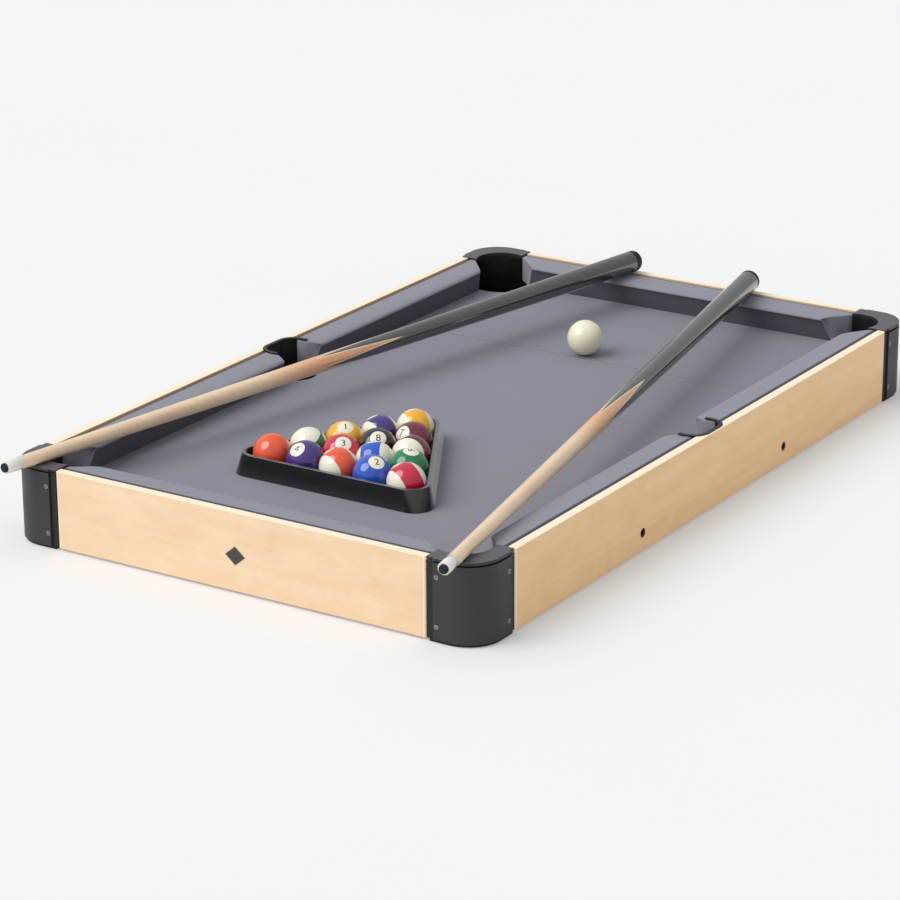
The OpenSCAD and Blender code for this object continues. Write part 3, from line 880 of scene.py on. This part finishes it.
def make_cue(number, looks):
    body = f"cue_{number}"
    cue = Cue(body)
    points_from = cue.shaft_to - STEPS_ON_SHAFT * PRONG_STEP
    points_to = points_from + PRONG_STEPS * PRONG_STEP
    butt_to = cue.total - BUMPER_L
    shaft = cue.evenly(cue.shaft_from, points_from, PLAIN_STEPS)[:-1]
    shaft += cue.evenly(points_from, cue.shaft_to, STEPS_ON_SHAFT)
    rest = PRONG_STEPS - STEPS_ON_SHAFT
    butt = cue.evenly(cue.shaft_to, points_to, rest)[:-1] + cue.evenly(points_to, butt_to, BUTT_STEPS)

    def plain(row, k):
        return MAPLE, MAPLE, True

    def on_shaft(row, k):
        return prong_finish(row - PLAIN_STEPS, k) if row >= PLAIN_STEPS else plain(row, k)

    def on_butt(row, k):
        return prong_finish(row + STEPS_ON_SHAFT, k) if row < rest else (BLACK, BLACK, True)

    wooden = [looks["shaft"], looks["butt"], looks["veneer"], looks["inlay"]]
    pieces = [
        ("tip", cue.tip(), [looks["tip"]], plain, "tip_leather"),
        ("ferrule", cue.ferrule(), [looks["ferrule"]], plain, "ferrule_white"),
        ("shaft", shaft, wooden, on_shaft, "cue_maple"),
        ("butt", butt, wooden, on_butt, "butt_lacquer"),
        ("bumper", cue.bumper(butt_to, BUMPER_ROUND), [looks["bumper"]], plain, "bumper_rubber"),
    ]
    for part, line, materials, finish, slot_name in pieces:
        piece = turned(f"{body}_{part}_turned", line, materials, cue.matrix(), finish)
        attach(piece, body)
        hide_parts(f"{body}_{part}")


# ---------- light and floor ----------

KEY_FROM = Vector((-0.52, 0.415, 0.743)).normalized()


def make_floor():
    data = bpy.data.meshes.new("floor")
    half = 30
    corners = [(-half, -half, 0), (half, -half, 0), (half, half, 0), (-half, half, 0)]
    data.from_pydata(corners, [], [(0, 1, 2, 3)])
    floor = bpy.data.objects.new("floor", data)
    bpy.context.scene.collection.objects.link(floor)
    # The floor glows faintly of its own, which lightens the shadows cast on it: painted light
    g = Graph("floor_paint_and_glow", Roughness=0.9, Specular_IOR_Level=0.0, Emission_Strength=0.21,
              Emission_Color=(0.96, 0.98, 1.0, 1))
    g.set("Base Color", g.mix(g.noise(g.place, 3.0), (0.63, 0.63, 0.63, 1), (0.64, 0.64, 0.64, 1)))
    data.materials.append(g.material)
    floor.location.z = -0.0005


def make_world():
    """A studio that is brightest round the key light and dimmer behind the table."""
    world = bpy.data.worlds.new("studio")
    bpy.context.scene.world = world
    world.use_nodes = True
    nodes, link = world.node_tree.nodes, world.node_tree.links.new
    way = nodes.new("ShaderNodeTexCoord")
    toward = nodes.new("ShaderNodeVectorMath")
    toward.operation = "DOT_PRODUCT"
    toward.inputs[1].default_value = KEY_FROM
    glow = nodes.new("ShaderNodeMapRange")
    glow.interpolation_type = "SMOOTHSTEP"
    for socket, value in zip(RANGE_SOCKETS, (-0.4, 0.9, 0.50, 0.74)):
        glow.inputs[socket].default_value = value
    background = nodes["Background"]
    background.inputs["Color"].default_value = (0.965, 0.98, 1.0, 1)
    link(way.outputs["Generated"], toward.inputs[0])
    link(toward.outputs["Value"], glow.inputs["Value"])
    link(glow.outputs["Result"], background.inputs["Strength"])


def make_key():
    key = bpy.data.lights.new("key", "SUN")
    key.energy = 1.95
    key.angle = math.radians(46)
    key.color = (1.0, 0.985, 0.96)
    lamp = bpy.data.objects.new("key", key)
    bpy.context.scene.collection.objects.link(lamp)
    lamp.rotation_mode = "QUATERNION"
    lamp.rotation_quaternion = KEY_FROM.to_track_quat("Z", "Y")


# ---------- the table ----------

def finish_cad_nodes():
    panel_x = high("side_panel_far").x - WOOD_LAP
    panel_y = high("end_panel_plain").y - WOOD_LAP
    maple_x = wood("maple_along", 0, srgb(250, 212, 158), srgb(236, 190, 130),
                   finish=pale_edges("X", panel_x))
    maple_y = wood("maple_across", 1, srgb(242, 214, 182), srgb(228, 192, 150),
                   finish=pale_edges("Y", panel_y))
    soft_x = wood("softwood_along", 0, srgb(222, 190, 146), srgb(196, 156, 108), 0.7, 0.0)
    soft_y = wood("softwood_across", 1, srgb(222, 190, 146), srgb(196, 156, 108), 0.7, 0.0)
    # The guards' sunken lips beside the wood are painted almost black: painted shade in the gap
    guard = moulded("guard_plastic", srgb(44, 43, 46), srgb(54, 54, 57), 0.5,
                    dark=srgb(14, 14, 15), where=beside_wood)
    # The caps' sides are painted darker than their tops: painted shade
    cap = moulded("cap_plastic", srgb(84, 82, 88), srgb(98, 96, 102), 0.42, dark=srgb(42, 41, 45),
                  where=lambda g: facing_down(g, 0.75, 0.35))
    liner = moulded("pocket_plastic", srgb(15, 15, 17), srgb(22, 22, 24), 0.38, 0.00004)
    for side in ("near", "far"):
        paint(f"side_panel_{side}", maple_x, 0.5 * MM)
        paint(f"side_pocket_{side}", liner, 0.4 * MM)
    for end in ("badge", "plain"):
        paint(f"end_panel_{end}", maple_y, 0.5 * MM)
    for k in range(1, 5):
        paint(f"corner_guard_{k}", guard, 0.5 * MM, 2, 65)
        paint(f"corner_cap_{k}", cap, 0.8 * MM, 3)
        paint(f"corner_pocket_{k}", liner, 0.4 * MM)
    paint("bed_board", board("fibreboard"))
    paint("cross_beams", soft_y, 0.5 * MM)
    paint("bed_ledges", soft_x, 0.5 * MM)
    paint("rail_cores", soft_x)
    paint("panel_bolts", metal("black_steel", srgb(38, 38, 40), 0.42, 0.8), 0.2 * MM)
    paint("guard_screws", metal("zinc_steel", srgb(150, 151, 155), 0.42), 0.1 * MM)
    paint("corner_feet", rubber("foot_rubber", srgb(26, 26, 27), 0.8), 0.3 * MM)
    paint("end_badge", resin("badge_inlay", srgb(40, 36, 32)), 0.15 * MM)
    paint("triangle_rack", moulded("rack_plastic", srgb(25, 25, 30), srgb(28, 28, 33), 0.16, 0.00001, 1.0),
          0.6 * MM, 3)


def make_balls():
    finishes = {name: resin(f"resin_{name}", colour) for name, colour in BALL_COLOURS}
    white = resin("resin_white", IVORY, 0.95)
    ink = resin("resin_ink", srgb(18, 18, 20))
    for number in range(1, 16):
        make_ball(number, finishes, white, ink)
    make_cue_ball(resin("resin_cue_ball", srgb(240, 234, 206), 0.96))


def make_cues():
    looks = {
        "tip": leather("tip_leather"),
        "ferrule": resin("ferrule_white", srgb(236, 232, 224), 0.95),
        "shaft": wood("cue_maple", 0, srgb(246, 222, 190), srgb(230, 198, 162), 0.3, 0.7,
                      stained_end(0.30, 0.43, srgb(228, 166, 116))),
        "butt": lacquer("butt_black", srgb(16, 16, 18), srgb(24, 23, 24)),
        "veneer": lacquer("butt_veneer", srgb(244, 226, 186), srgb(226, 204, 160)),
        "inlay": lacquer("butt_inlay", srgb(232, 166, 114), srgb(206, 134, 84)),
        "bumper": rubber("bumper_rubber", srgb(20, 20, 22), 0.55),
    }
    for number in (1, 2):
        make_cue(number, looks)


make_camera()
make_floor()
make_world()
make_key()
bpy.context.scene.view_settings.view_transform = "Standard"
finish_cad_nodes()
panels = (high("cushion_end_right").x, high("cushion_far_right").y)
cloth = felt("grey_felt", srgb(150, 150, 160), srgb(130, 130, 140), shade_beside_panels=panels)
# The bed's copy of the same felt is set a little darker than the cushions' copy: painted shade
bed = felt("grey_felt_bed", srgb(143, 143, 153), srgb(123, 123, 133), line_x=HEAD_LINE)
make_cushions(cloth)
make_bed_cloth(bed)
make_balls()
make_cues()
